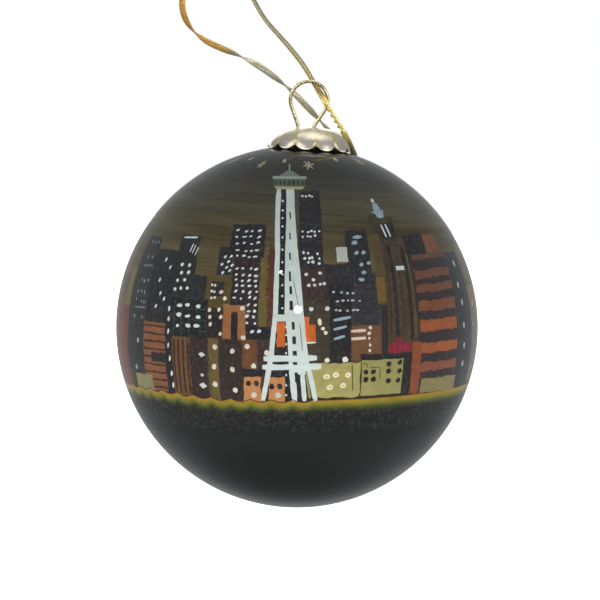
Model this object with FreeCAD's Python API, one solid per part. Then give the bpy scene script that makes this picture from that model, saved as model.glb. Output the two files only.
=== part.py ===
"""Hand-painted glass ball ornament: blown ball, paint inside it, stamped cap, wire hanger and cord.

Millimetres, +Z up.  The origin is the inside top of the wire ring, where a hook carries the
ornament, and the picture's middle faces -Y.  Everything hangs below that point except the cord.
"""
import FreeCAD, Part
import math
import os

# Glass ball
ball_diameter = 76.0
ball_centre_z = -51.05
glass_wall = 1.2
neck_outer_radius = 5.8
neck_wall = 1.1
neck_fillet = 1.0

# Paint on the inside of the glass, in three areas, heights measured from the ball's centre
paint_thickness = 0.15
ground_edge_height = -14.5
shoulder_edge_height = 24.0
paint_mouth_radius = 5.4

# Stamped cap
cap_radius = 8.5
cap_rim_z = -13.7
cap_top_z = -9.55
cap_flat_radius = 2.4
cap_bulge = (6.4, -11.2)
cap_sheet = 0.35
scallop_count = 12
scallop_turn_degrees = 9.3
notch_radius = 0.9
seat_gap = 0.3

# Wire hanger: a ring and two spring legs bent from one piece
wire_diameter = 0.75
ring_radius = 3.9
ring_centre_x = -0.7
leg_spacing = 3.3
legs_centre_x = -1.0
leg_entry_z = -8.9
leg_bow_start_z = -14.95
leg_bow_z = -23.35
leg_end_z = -27.35
leg_end_tuck = 0.5
leg_bend_radius = 1.5
leg_hole_clearance = 0.15
leg_neck_clearance = 0.15

# Metallic cord, tied in a loop through the ring
cord_diameter = 0.8
cord_route = [
    (-23.8, 0.6, 20.9), (-26.6, 0.4, 19.6), (-28.4, 0.3, 16.8), (-28.4, 0.2, 13.2),
    (-26.6, 0.2, 9.8), (-23.6, 0.3, 7.5), (-20.2, 0.5, 6.1), (-16.2, 0.6, 4.9),
    (-12.0, 0.8, 3.1), (-8.0, 1.0, 0.7), (-4.2, 1.3, -2.0), (-1.1, 1.9, -4.8),
    (1.6, 2.9, -7.3), (3.6, 4.5, -9.3), (4.9, 6.5, -11.2), (5.6, 8.7, -12.9),
    (5.8, 10.5, -14.0), (6.9, 11.8, -14.7), (8.6, 11.8, -15.1), (9.7, 10.4, -14.95), (9.8, 8.3, -14.4),
    (9.3, 5.7, -13.6), (8.8, 3.2, -12.8), (8.0, 1.3, -11.3), (6.8, -0.1, -9.5),
    (5.5, -1.1, -7.7), (4.2, -1.5, -5.8), (2.9, -1.0, -3.9), (1.5, 0.1, -1.9),
    (-0.1, 1.2, 0.4), (-2.1, 1.5, 3.4), (-4.9, 1.5, 6.6), (-8.0, 1.5, 9.6),
    (-11.0, 1.4, 12.5), (-13.2, 1.3, 15.7), (-15.1, 1.1, 18.8), (-17.9, 0.9, 20.7),
    (-20.8, 0.8, 21.1),
]
knot_radius = 1.35
knot_end_radius = 0.75
knot_overrun = 0.4
tail_length = 4.6
tail_spread_degrees = 24.0

ball_radius = ball_diameter / 2
inner_radius = ball_radius - glass_wall
neck_inner_radius = neck_outer_radius - neck_wall
wire_radius = wire_diameter / 2
ring_centre_z = wire_radius - ring_radius


def point(x, z):
    """A point of a profile in the XZ plane."""
    return FreeCAD.Vector(x, 0, z)


def straight(a, b):
    return Part.LineSegment(a, b).toShape()


def arc(a, middle, b):
    return Part.Arc(a, middle, b).toShape()


def sphere_point(radius, angle):
    """A point of a meridian, its angle counted up from the ball's equator."""
    return point(radius * math.cos(angle), ball_centre_z + radius * math.sin(angle))


def meridian(radius, start, end):
    """An arc of a meridian between two angles."""
    return arc(*[sphere_point(radius, a) for a in (start, (start + end) / 2, end)])


def turned(edges):
    """The solid of revolution of a closed profile about Z."""
    face = Part.Face(Part.Wire(edges))
    return face.revolve(FreeCAD.Vector(0, 0, 0), FreeCAD.Vector(0, 0, 1), 360)


def cap_outline(inset):
    """The cap's dome, inset from its outside: edge of the flat top, bulge and rim."""
    return (
        point(cap_flat_radius - inset / 4, cap_top_z - inset),
        point(cap_bulge[0] - 0.7 * inset, cap_bulge[1] - 0.7 * inset),
        point(cap_radius - inset, cap_rim_z),
    )


def cap_inside_z(radius):
    """Height of the cap's inner face at a radius."""
    circle = arc(*cap_outline(cap_sheet)).Curve
    return circle.Center.z + math.sqrt(circle.Radius ** 2 - (radius - circle.Center.x) ** 2)


def glass_ball():
    """Blown ball and short neck as one shell with a rounded lip."""
    lip_z = cap_inside_z(neck_outer_radius) - seat_gap - neck_wall / 2
    fillet_x = neck_outer_radius + neck_fillet
    fillet_height = math.sqrt((ball_radius + neck_fillet) ** 2 - fillet_x ** 2)
    fillet_centre = point(fillet_x, ball_centre_z + fillet_height)
    foot_angle = math.atan2(fillet_height, fillet_x)
    foot = sphere_point(ball_radius, foot_angle)
    neck_foot = point(neck_outer_radius, fillet_centre.z)
    half_way = math.pi + foot_angle / 2
    fillet_middle = fillet_centre + neck_fillet * point(math.cos(half_way), math.sin(half_way))
    mouth_angle = math.acos(neck_inner_radius / inner_radius)
    mouth = sphere_point(inner_radius, mouth_angle)
    outer_lip = point(neck_outer_radius, lip_z)
    inner_lip = point(neck_inner_radius, lip_z)
    lip_top = point(neck_outer_radius - neck_wall / 2, lip_z + neck_wall / 2)
    south = -math.pi / 2
    return turned([
        meridian(ball_radius, south, foot_angle),
        arc(foot, fillet_middle, neck_foot),
        straight(neck_foot, outer_lip),
        arc(outer_lip, lip_top, inner_lip),
        straight(inner_lip, mouth),
        meridian(inner_radius, mouth_angle, south),
        straight(sphere_point(inner_radius, south), sphere_point(ball_radius, south)),
    ])


def paint_area(low_angle, high_angle):
    """A coat of paint on the inside of the glass between two meridian angles."""
    coat_radius = inner_radius - paint_thickness
    edges = [
        meridian(inner_radius, low_angle, high_angle),
        straight(sphere_point(inner_radius, high_angle), sphere_point(coat_radius, high_angle)),
        meridian(coat_radius, high_angle, low_angle),
        straight(sphere_point(coat_radius, low_angle), sphere_point(inner_radius, low_angle)),
    ]
    return turned(edges)


def metal_cap():
    """Domed cap with a scalloped rim and two holes for the hanger's legs."""
    outside = cap_outline(0)
    inside = cap_outline(cap_sheet)
    top = point(0, cap_top_z)
    under = point(0, cap_top_z - cap_sheet)
    cap = turned([
        straight(top, outside[0]),
        arc(*outside),
        straight(outside[2], inside[2]),
        arc(*reversed(inside)),
        straight(inside[0], under),
        straight(under, top),
    ])
    notch = Part.makeCylinder(
        notch_radius, 4, FreeCAD.Vector(cap_radius - 3, 0, cap_rim_z), FreeCAD.Vector(1, 0, 0)
    )
    for number in range(scallop_count):
        cut = notch.copy()
        angle = 360 * number / scallop_count - 90 + scallop_turn_degrees
        cut.rotate(FreeCAD.Vector(0, 0, 0), FreeCAD.Vector(0, 0, 1), angle)
        cap = cap.cut(cut)
    for side in (-1, 1):
        hole_x = legs_centre_x + side * leg_spacing / 2
        foot = FreeCAD.Vector(hole_x, 0, cap_top_z - 2)
        cap = cap.cut(Part.makeCylinder(wire_radius + leg_hole_clearance, 4, foot))
    return cap


def rounded_path(points, radius=None, report=None):
    """Straight runs through the points, joined by tangent arcs.

    An arc has the given radius, or else the largest that takes 0.45 of the shorter of its runs.
    """
    edges = []
    start = points[0]
    for before, corner, after in zip(points, points[1:], points[2:]):
        back = before - corner
        ahead = after - corner
        half_turn = (math.pi - back.getAngle(ahead)) / 2
        reach = 0.45 * min(back.Length, ahead.Length)
        if radius:
            reach = radius * math.tan(half_turn)
        bend = reach / math.tan(half_turn)
        if report is not None:
            report.append(bend)
        back.normalize()
        ahead.normalize()
        bisector = back + ahead
        bisector.normalize()
        first = corner + back * reach
        last = corner + ahead * reach
        middle = corner + bisector * (bend / math.cos(half_turn) - bend)
        edges.append(straight(start, first))
        edges.append(arc(first, middle, last))
        start = last
    edges.append(straight(start, points[-1]))
    return edges


def tube(edges, radius):
    """A round rod along a path of edges that follow each other."""
    path = Part.Wire(edges)
    first = edges[0]
    start = first.valueAt(first.FirstParameter)
    direction = first.tangentAt(first.FirstParameter)
    section = Part.Wire([Part.Circle(start, direction, radius).toShape()])
    return path.makePipeShell([section], True, False)


def ring_touch(leg, side):
    """Angle where the straight from a leg's entry point meets the ring without a kink."""
    dx = leg.x - ring_centre_x
    dz = leg.z - ring_centre_z
    spread = math.acos(ring_radius / math.hypot(dx, dz))
    return math.atan2(dz, dx) + side * spread


def ring_point(angle):
    return point(
        ring_centre_x + ring_radius * math.cos(angle), ring_centre_z + ring_radius * math.sin(angle)
    )


def hanger_leg(side):
    """Points of one leg from the ring down to its end inside the ball."""
    entry_x = legs_centre_x + side * leg_spacing / 2
    bow_x = side * (neck_inner_radius - wire_radius - leg_neck_clearance)
    entry = point(entry_x, leg_entry_z)
    return [
        ring_point(ring_touch(entry, side)),
        entry,
        point(entry_x, leg_bow_start_z),
        point(bow_x, leg_bow_z),
        point(bow_x - side * leg_end_tuck, leg_end_z),
    ]


def hanger_wire():
    """The ring, its two straights to the cap and the bowed spring legs below it."""
    left = hanger_leg(-1)
    right = hanger_leg(1)
    right_angle = ring_touch(right[1], 1)
    left_angle = ring_touch(left[1], -1) + 2 * math.pi
    ring = arc(*[ring_point(a) for a in (left_angle, (left_angle + right_angle) / 2, right_angle)])
    edges = rounded_path(left[::-1], leg_bend_radius)
    edges.append(ring)
    edges.extend(rounded_path(right, leg_bend_radius))
    return tube(edges, wire_radius)


def gold_cord():
    """The cord from the knot, through the ring, behind the cap and back through the ring."""
    bends = []
    edges = rounded_path([FreeCAD.Vector(*p) for p in cord_route], report=bends)
    cord = tube(edges, cord_diameter / 2)
    length = sum(edge.Length for edge in edges)
    section = math.pi * cord_diameter ** 2 / 4
    print("cord length %.1f mm, volume over section times length %.4f"
          % (length, cord.Volume / (section * length)))
    print("cord bend radii, mm:", " ".join("%.1f" % bend for bend in bends))
    return cord


def cord_knot():
    """The knot that closes the loop, a barrel over both cord ends with two cut tails."""
    first = FreeCAD.Vector(*cord_route[0])
    last = FreeCAD.Vector(*cord_route[-1])
    axis = last - first
    length = axis.Length + 2 * knot_overrun
    half = length / 2
    profile = [
        straight(point(0, -half), point(knot_end_radius, -half)),
        arc(point(knot_end_radius, -half), point(knot_radius, 0), point(knot_end_radius, half)),
        straight(point(knot_end_radius, half), point(0, half)),
        straight(point(0, half), point(0, -half)),
    ]
    barrel = turned(profile)
    barrel.Placement = FreeCAD.Placement(
        (first + last) / 2, FreeCAD.Rotation(FreeCAD.Vector(0, 0, 1), axis)
    )
    knot = barrel
    for side in (-1, 1):
        lean = math.radians(side * tail_spread_degrees)
        tail = Part.makeCylinder(
            cord_diameter / 2, tail_length, (first + last) / 2,
            FreeCAD.Vector(math.sin(lean), 0.2 * side, math.cos(lean)),
        )
        knot = knot.fuse(tail)
    return knot.removeSplitter()


def build():
    """Every node of the ornament by name."""
    south = -math.pi / 2
    ground_edge = math.asin(ground_edge_height / inner_radius)
    shoulder_edge = math.asin(shoulder_edge_height / inner_radius)
    mouth_edge = math.acos(paint_mouth_radius / inner_radius)
    return {
        "glass_ball": glass_ball(),
        "base_paint": paint_area(south, ground_edge),
        "skyline_paint": paint_area(ground_edge, shoulder_edge),
        "shoulder_paint": paint_area(shoulder_edge, mouth_edge),
        "metal_cap": metal_cap(),
        "hanger_wire": hanger_wire(),
        "gold_cord": gold_cord(),
        "cord_knot": cord_knot(),
    }


os.makedirs("parts", exist_ok=True)
for node, shape in build().items():
    if shape.ShapeType == "Compound" and len(shape.Solids) == 1:
        shape = shape.Solids[0]
    print(node, shape.ShapeType, "valid", shape.isValid(), "volume %.1f" % shape.Volume)
    shape.exportStep("parts/%s.step" % node)
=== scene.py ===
import random
from math import acos, asin, atan2, cos, degrees, hypot, pi, radians, sin, sqrt

import bpy
from mathutils import Matrix, Vector


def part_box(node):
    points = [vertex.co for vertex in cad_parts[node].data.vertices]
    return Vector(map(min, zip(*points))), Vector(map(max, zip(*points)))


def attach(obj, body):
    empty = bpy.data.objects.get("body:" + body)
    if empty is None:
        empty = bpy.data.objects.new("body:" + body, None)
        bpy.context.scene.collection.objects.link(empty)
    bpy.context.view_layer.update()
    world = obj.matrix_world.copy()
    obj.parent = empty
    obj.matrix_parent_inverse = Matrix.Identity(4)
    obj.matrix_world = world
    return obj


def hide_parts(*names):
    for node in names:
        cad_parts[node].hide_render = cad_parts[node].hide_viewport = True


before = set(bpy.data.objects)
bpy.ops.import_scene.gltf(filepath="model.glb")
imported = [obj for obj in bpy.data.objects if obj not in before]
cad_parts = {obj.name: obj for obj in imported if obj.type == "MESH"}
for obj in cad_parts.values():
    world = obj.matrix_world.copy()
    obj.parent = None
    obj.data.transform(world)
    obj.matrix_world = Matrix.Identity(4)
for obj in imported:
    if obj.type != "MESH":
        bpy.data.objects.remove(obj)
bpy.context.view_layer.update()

MM = 0.001
TAU = 2 * pi

# Places taken from the frame

ball_low, ball_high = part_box("glass_ball")
paint_low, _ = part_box("base_paint")
cap_low, cap_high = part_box("metal_cap")

BALL_RADIUS = (ball_high.x - ball_low.x) / 2
BALL_MM = round(BALL_RADIUS / MM, 1)
BALL_CENTRE = Vector((0, 0, ball_low.z + BALL_RADIUS))
PAINT_RADIUS = BALL_CENTRE.z - paint_low.z
NECK_RADIUS = 5.8 * MM
NECK_WALL = 1.1 * MM
NECK_FILLET = 1.0 * MM

# Camera, seen as in the photograph

VIEW_ELEVATION = radians(5.7)
VIEW_ROLL = radians(3.9)
VIEW_DISTANCE = 10 * BALL_RADIUS
SENSOR = 36.0
LENS = 108.06
VIEW_WIDTH = VIEW_DISTANCE * SENSOR / LENS
BALL_LEFT_OF_MIDDLE = 0.005 * VIEW_WIDTH
BALL_BELOW_MIDDLE = 0.04417 * VIEW_WIDTH
FACING = Vector((0, -cos(VIEW_ELEVATION), sin(VIEW_ELEVATION)))


def add_object(name, data):
    """Puts an object into the scene."""
    thing = bpy.data.objects.new(name, data)
    bpy.context.scene.collection.objects.link(thing)
    return thing


def make_camera():
    """A long lens a little above the ball, rolled so that the ball leans to the right."""
    level_right = Vector((1, 0, 0))
    level_up = FACING.cross(level_right)
    right = level_right * cos(VIEW_ROLL) + level_up * sin(VIEW_ROLL)
    up = level_up * cos(VIEW_ROLL) - level_right * sin(VIEW_ROLL)
    place = BALL_CENTRE + FACING * VIEW_DISTANCE
    aim = BALL_CENTRE + up * BALL_BELOW_MIDDLE + right * BALL_LEFT_OF_MIDDLE
    forward = (aim - place).normalized()
    right = forward.cross(up).normalized()
    up = right.cross(forward)
    data = bpy.data.cameras.new("camera")
    data.sensor_width = SENSOR
    data.lens = LENS
    data.clip_start = 0.01
    camera = add_object("camera", data)
    camera.matrix_world = Matrix.Translation(place) @ Matrix((right, up, -forward)).transposed().to_4x4()
    bpy.context.scene.camera = camera


# Node materials

def linear(code):
    """A linear colour from a paint code such as d2691e."""
    values = [int(code[i:i + 2], 16) / 255 for i in (0, 2, 4)]
    return tuple(v / 12.92 if v < 0.04045 else ((v + 0.055) / 1.055) ** 2.4 for v in values)


def rgba(colour):
    """Four numbers for a paint code or three numbers; a socket is left as it is."""
    if isinstance(colour, str):
        colour = linear(colour)
    return (*colour, 1) if isinstance(colour, tuple) else colour


class Nodes:
    """The node tree of a material or of the world, written as short calls."""

    def __init__(self, owner):
        owner.use_nodes = True
        self.owner = owner
        self.tree = owner.node_tree
        self.shader = self.tree.nodes.get("Principled BSDF")
        self.output = next(node for node in self.tree.nodes if node.type.startswith("OUTPUT"))

    def feed(self, node, inputs):
        """Links an input that is given a socket, and types in one that is given a number."""
        for key, value in inputs.items():
            if isinstance(value, bpy.types.NodeSocket):
                self.tree.links.new(value, node.inputs[key])
            else:
                node.inputs[key].default_value = value

    def add(self, kind, inputs=None, output=0, **settings):
        """Adds a node with its settings and inputs, and gives back one of its outputs."""
        node = self.tree.nodes.new("ShaderNode" + kind)
        for key, value in settings.items():
            setattr(node, key, value)
        self.feed(node, inputs or {})
        return node.outputs[output]

    def place(self, scale=(1, 1, 1), rotation=(0, 0, 0), centre=(0, 0, 0)):
        """Object coordinates, moved so that centre is the middle, then turned and scaled."""
        here = self.add("TexCoord", output="Object")
        moved = self.add("VectorMath", {0: here, 1: centre}, operation="SUBTRACT")
        inputs = {"Vector": moved, "Rotation": rotation, "Scale": scale}
        return self.add("Mapping", inputs)

    def noise(self, vector, scale, detail=3.0):
        inputs = {"Vector": vector, "Scale": scale, "Detail": detail, "Roughness": 0.55}
        return self.add("TexNoise", inputs, "Fac")

    def spread(self, value, low, high, out_low=0.0, out_high=1.0):
        """A value brought from one range to another, and held inside it."""
        inputs = {"Value": value, "From Min": low, "From Max": high, "To Min": out_low, "To Max": out_high}
        return self.add("MapRange", inputs)

    def math(self, operation, *values):
        return self.add("Math", dict(enumerate(values)), operation=operation)

    def ramp(self, value, stops):
        """A colour that changes with a value; the stops are places from 0 to 1 with paint codes."""
        colour = self.add("ValToRGB", {"Fac": value}, "Color")
        elements = colour.node.color_ramp.elements
        while len(elements) < len(stops):
            elements.new(1.0)
        for element, (position, code) in zip(elements, stops):
            element.position = position
            element.color = rgba(code)
        return colour

    def mix(self, factor, a, b, blend="MIX"):
        inputs = {0: factor, 6: rgba(a), 7: rgba(b)}
        return self.add("Mix", inputs, 2, data_type="RGBA", blend_type=blend)

    def finish(self, colour, roughness, others):
        """Sets the shader's inputs and gives the material back."""
        self.feed(self.shader, {"Base Color": colour, "Roughness": roughness, **others})
        return self.owner

    def bump(self, height, distance, strength=0.5):
        inputs = {"Height": height, "Distance": distance, "Strength": strength}
        self.feed(self.shader, {"Normal": self.add("Bump", inputs)})


PICTURE_TILT = radians(-3.9)
PICTURE_AXES = ((0, -PICTURE_TILT, 0), BALL_CENTRE)


def new_material(name):
    return Nodes(bpy.data.materials.new(name))


def finish_paint(nodes, colour, hairs):
    """Dull paint, a little smoother between the marks of the brush hairs."""
    return nodes.finish(colour, nodes.spread(hairs, 0, 1, 0.6, 0.85), {"Specular IOR Level": 0.1})


def film_material(name, streak):
    """Paint film: a colour for each height, drawn out in level brush streaks."""
    nodes = new_material(name)
    height = nodes.add("SeparateXYZ", {0: nodes.place((1, 1, 1), *PICTURE_AXES)}, 2)
    broad = nodes.noise(nodes.place((18, 18, 260), *PICTURE_AXES), 1.0, 4.0)
    fine = nodes.noise(nodes.place((60, 60, 1500), *PICTURE_AXES), 1.0)
    shifted = nodes.math("ADD", height, nodes.spread(broad, 0, 1, -2.2 * MM, 2.2 * MM))
    share = nodes.spread(shifted, -BALL_RADIUS, BALL_RADIUS)
    colour = nodes.ramp(share, [((height / BALL_MM + 1) / 2, code) for height, code in SKY_STOPS])
    darker = nodes.mix(nodes.spread(broad, 0.35, 0.7), colour, streak[0], "MULTIPLY")
    return finish_paint(nodes, nodes.mix(nodes.spread(fine, 0.52, 0.72, 0, 0.55), darker, streak[1]), fine)


def stroke_material(name, unevenness):
    """Brushed gouache: the stroke's own colour, thinner and thicker along the brush hairs."""
    nodes = new_material(name)
    own = nodes.add("Attribute", output="Color", attribute_name="paint")
    hairs = nodes.noise(nodes.place((260, 260, 900), *PICTURE_AXES), 1.0)
    grain = nodes.noise(nodes.place(), 1500, 2.0)
    thin = nodes.mix(nodes.spread(hairs, 0.3, 0.75, 0, unevenness), own, (0.6, 0.56, 0.5), "MULTIPLY")
    speckled = nodes.mix(nodes.spread(grain, 0.5, 0.7, 0, 0.035), thin, (0.8, 0.78, 0.74), "SCREEN")
    nodes.bump(hairs, 0.02 * MM, 0.4)
    return finish_paint(nodes, speckled, hairs)


def glass_material():
    """Clear blown glass that lets lamps through to the paint."""
    nodes = new_material("clear_glass")
    ripple = nodes.noise(nodes.place(), 55, 2.0)
    tint = nodes.mix(nodes.spread(ripple, 0.3, 0.7), (0.985, 0.99, 0.99), (0.965, 0.975, 0.98))
    nodes.bump(ripple, 0.02 * MM, 0.15)
    lamp_ray = nodes.add("LightPath", output="Is Shadow Ray")
    clear = nodes.add("BsdfTransparent", {"Color": (0.96, 0.97, 0.97, 1)})
    mixed = nodes.add("MixShader", {0: lamp_ray, 1: nodes.shader.outputs[0], 2: clear})
    nodes.feed(nodes.output, {"Surface": mixed})
    return nodes.finish(tint, 0.0, {"Transmission Weight": 1.0, "IOR": 1.45})


def wire_material():
    """Gilt wire with two tones of plating, fine rubbing marks and small dents."""
    nodes = new_material("gilt_wire")
    patches = nodes.noise(nodes.place(), 700)
    rubbing = nodes.noise(nodes.place((1, 1, 6)), 4200, 2.0)
    gilding = nodes.mix(nodes.spread(patches, 0.35, 0.65), "c9bf98", "a89c70")
    roughness = nodes.spread(rubbing, 0.25, 0.75, 0.21, 0.39)
    nodes.bump(patches, 0.006 * MM)
    return nodes.finish(gilding, roughness, {"Metallic": 1.0})


# Meshes

def add_mesh(name, points, faces, material, body, colours=None):
    mesh = bpy.data.meshes.new(name)
    mesh.from_pydata([tuple(p) for p in points], [], faces)
    mesh.validate()
    mesh.polygons.foreach_set("use_smooth", [True] * len(mesh.polygons))
    if colours:
        layer = mesh.color_attributes.new("paint", "FLOAT_COLOR", "POINT")
        layer.data.foreach_set("color", [value for c in colours for value in (*c, 1)])
    mesh.materials.append(material)
    piece = add_object(name, mesh)
    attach(piece, body)
    return piece


def turned(x, y, angle):
    """A flat place turned about the origin."""
    return x * cos(angle) - y * sin(angle), x * sin(angle) + y * cos(angle)


def between(a, b, steps):
    """Evenly spaced places from a towards b, without b itself."""
    return [tuple(p + (q - p) * i / steps for p, q in zip(a, b)) for i in range(steps)]


def lathe(profile, count):
    """Points and faces of a profile of (radius, z) turned about Z; a radius of 0 is a pole."""
    points, rings, faces = [], [], []
    for radius, z in profile:
        turns = 1 if radius < 1e-9 else count
        rings.append([len(points) + i % turns for i in range(count)])
        points.extend((*turned(radius, 0, TAU * i / count), z) for i in range(turns))
    for lower, upper in zip(rings, rings[1:]):
        for i in range(count):
            j = (i + 1) % count
            corners = [lower[i], lower[j], upper[j], upper[i]]
            faces.append([c for k, c in enumerate(corners) if c not in corners[:k]])
    return points, faces


def arc_points(centre, radius, start, end, steps):
    angles = [start + (end - start) * i / steps for i in range(steps + 1)]
    return [(centre[0] + radius * cos(a), centre[1] + radius * sin(a)) for a in angles]


def evaluated_mesh(piece):
    """A copy of a piece's mesh with its modifiers, or its curve, worked out."""
    return bpy.data.meshes.new_from_object(piece.evaluated_get(bpy.context.evaluated_depsgraph_get()))


# Glass ball and paint film

def make_glass():
    """Ball, drawn-in neck and rounded lip as one smooth blown wall."""
    middle = (0, BALL_CENTRE.z)
    fillet_x = NECK_RADIUS + NECK_FILLET
    rise = sqrt((BALL_RADIUS + NECK_FILLET) ** 2 - fillet_x ** 2)
    foot = atan2(rise, fillet_x)
    lip = (NECK_RADIUS - NECK_WALL / 2, ball_high.z - NECK_WALL / 2)
    mouth = acos((NECK_RADIUS - NECK_WALL) / PAINT_RADIUS)
    profile = arc_points(middle, BALL_RADIUS, -pi / 2, foot, 150)
    profile += arc_points((fillet_x, BALL_CENTRE.z + rise), NECK_FILLET, pi + foot, pi, 8)[1:]
    profile += arc_points(lip, NECK_WALL / 2, 0, pi, 12)
    profile += arc_points(middle, PAINT_RADIUS, mouth, -pi / 2, 150)
    points, faces = lathe(profile, 256)
    glass = add_mesh("blown_glass", points, faces, glass_material(), "ball")
    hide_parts("glass_ball")


FILM_RADIUS = PAINT_RADIUS + 0.03 * MM
LAYER_STEP = 0.03 * MM
BASE_EDGE = -15.6
SHOULDER_EDGE = 24.0
SHOULDER_TOP = 37.55


def make_film(name, low, high, streak, node):
    """The continuous paint film between two heights on the inside of the glass."""
    start, end = asin(low / BALL_MM), asin(high / BALL_MM)
    profile = arc_points((0, BALL_CENTRE.z), FILM_RADIUS, start, end, max(12, int(40 * (end - start))))
    points, faces = lathe(profile, 200)
    film = add_mesh(name, points, faces, film_material(name, streak), "ball")
    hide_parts(node)


SKY_STOPS = [
    (-BALL_MM, "08090a"), (-22, "0d0e0e"), (-13.2, "101111"), (-12, "241f10"), (-6, "4e4524"),
    (6, "665a38"), (16, "6c6144"), (24, "605b43"), (29, "48473c"), (33, "333431"), (BALL_MM, "26282c"),
]


def make_films():
    """Base, sky and shoulder, each with the two colours of its broad and fine streaks."""
    make_film("base_film", -BALL_MM, BASE_EDGE, ("c9c9c9", "101112"), "base_paint")
    make_film("sky_film", BASE_EDGE, SHOULDER_EDGE, ("b3a484", "6e6138"), "skyline_paint")
    make_film("shoulder_film", SHOULDER_EDGE, SHOULDER_TOP, ("b4aea0", "2c2b27"), "shoulder_paint")


# Brush strokes on the glass

DRAWN_IN = 0.07
DEGREE_MM = 0.66  # one degree across, at the ball's widest


def on_glass(across, height, layer):
    """Where a stroke lies: degrees across the picture and millimetres above its middle line.

    The picture is drawn in a little towards its middle, which the near view spreads again.
    """
    sine = max(-0.999, min(0.999, height / BALL_MM))
    cosine = sqrt(1 - sine * sine)
    flare = max(0.0, min(1.0, (100 - abs(across)) / 50))
    angle = radians(across * (1 + flare * (cosine ** -0.4 - 1)))
    radius = FILM_RADIUS + layer * LAYER_STEP
    y, x = turned(-radius * cosine, 0, -angle)
    x, z = turned(x, radius * sine, -PICTURE_TILT)
    place = Vector((x, y, z))
    return BALL_CENTRE + (place / radius + FACING * DRAWN_IN).normalized() * radius


def across_of(x, height):
    """Degrees across for a place x millimetres beside the picture's upright middle."""
    cosine = sqrt(1 - (height / BALL_MM) ** 2)
    return degrees(asin(x / (BALL_MM * cosine))) / cosine ** -0.4


class Picture:
    """Strokes of paint collected into one mesh, each with its own colour."""

    def __init__(self, name, seed):
        self.name = name
        self.random = random.Random(seed)
        self.shake = self.random.uniform
        self.points, self.faces, self.colours = [], [], []
        self.blocks = 0

    def shade(self, code, spread=0.1):
        change = 1 + self.shake(-spread, spread)
        return tuple(min(1.0, v * change) for v in linear(code))

    def grid(self, columns, colours):
        """A sheet of quads from columns of points, with one colour for each point."""
        start, rows = len(self.points), len(columns[0])
        for column, shades in zip(columns, colours):
            self.points.extend(column)
            self.colours.extend(shades)
        for i in range(len(columns) - 1):
            for j in range(rows - 1):
                a = start + i * rows + j
                self.faces.append((a, a + rows, a + rows + 1, a + 1))

    def block(self, left, right, bottom, top, code, layer=1, wobble=0.25, lean=0.0):
        """A roughly square-cornered patch with hand-drawn edges; lean moves its top across.

        Each patch lies a hair nearer the glass than the one before, so that it covers it.
        """
        self.blocks += 1
        layer += 0.005 * self.blocks
        across_steps = max(2, int(abs(right - left) / 1.8) + 1)
        up_steps = max(2, int(abs(top - bottom) / 1.3) + 1)
        lefts, rights = ([edge + self.shake(-wobble, wobble) for _ in range(up_steps + 1)]
                         for edge in (left, right))
        bottoms, tops = ([edge + 0.6 * self.shake(-wobble, wobble) for _ in range(across_steps + 1)]
                         for edge in (bottom, top))
        base = self.shade(code)
        columns, colours = [], []
        for i in range(across_steps + 1):
            s = i / across_steps
            column, shades = [], []
            for j in range(up_steps + 1):
                t = j / up_steps
                across = lefts[j] + (rights[j] - lefts[j]) * s + lean * t
                height = bottoms[i] + (tops[i] - bottoms[i]) * t
                column.append(on_glass(across, height, layer))
                change = self.shake(0.9, 1.1)
                shades.append(tuple(min(1.0, v * change) for v in base))
            columns.append(column)
            colours.append(shades)
        self.grid(columns, colours)

    def dab(self, across, height, wide, tall, code, layer=3, turn=0.0, corners=9):
        """One touch of the brush: a small uneven oval, in millimetres."""
        turn = radians(turn)
        start = len(self.points)
        base = self.shade(code, 0.06)
        per_mm = degrees(1 / sqrt(BALL_MM ** 2 - height ** 2))
        self.points.append(on_glass(across, height, layer))
        for i in range(corners):
            angle = TAU * i / corners
            size = self.shake(0.82, 1.15)
            x, y = turned(wide / 2 * size * cos(angle), tall / 2 * size * sin(angle), turn)
            self.points.append(on_glass(across + x * per_mm, height + y, layer))
        self.colours.extend([base] * (corners + 1))
        for i in range(corners):
            self.faces.append((start, start + 1 + i, start + 1 + (i + 1) % corners))

    def line(self, route, width, code, layer=3, taper=0.75):
        """A long stroke through (across, height) points, thinner at both ends, width in mm."""
        places = []
        for a, b in zip(route, route[1:]):
            reach = hypot((b[0] - a[0]) * DEGREE_MM, b[1] - a[1])
            places += between(a, b, max(1, int(reach)))
        line = [on_glass(*place, layer) for place in places + [route[-1]]]
        base = self.shade(code, 0.05)
        sides = [[], []]
        for i, here in enumerate(line):
            ahead = line[min(i + 1, len(line) - 1)] - line[max(i - 1, 0)]
            side = ahead.cross(here - BALL_CENTRE).normalized()
            thinned = taper if i in (0, len(line) - 1) else 1
            half = width / 2 * MM * thinned * self.shake(0.9, 1.1)
            for points, sign in zip(sides, (-1, 1)):
                points.append(here + side * half * sign)
        self.grid(sides, [[base] * len(line)] * 2)

    def windows(self, left, right, bottom, top, across_count, up_count, code, size=(0.75, 0.5), turn=18,
                skip=0.0):
        """Rows of window dabs, some left out and none quite in line."""
        for j in range(up_count):
            for i in range(across_count):
                if self.random.random() < skip:
                    continue
                across = left + (right - left) * (i + 0.5) / across_count + self.shake(-0.4, 0.4)
                height = bottom + (top - bottom) * (j + 0.5) / up_count + self.shake(-0.2, 0.2)
                wide = size[0] * self.shake(0.7, 1.25)
                tall = size[1] * self.shake(0.8, 1.2)
                self.dab(across, height, wide, tall, code, turn=turn * self.shake(0, 1.6))

    def dabs(self, places, *touch, **options):
        for place in places:
            self.dab(*place, *touch, **options)

    def finish(self, material, slot):
        return add_mesh(self.name, self.points, self.faces, material, "ball", colours=self.colours)


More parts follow.
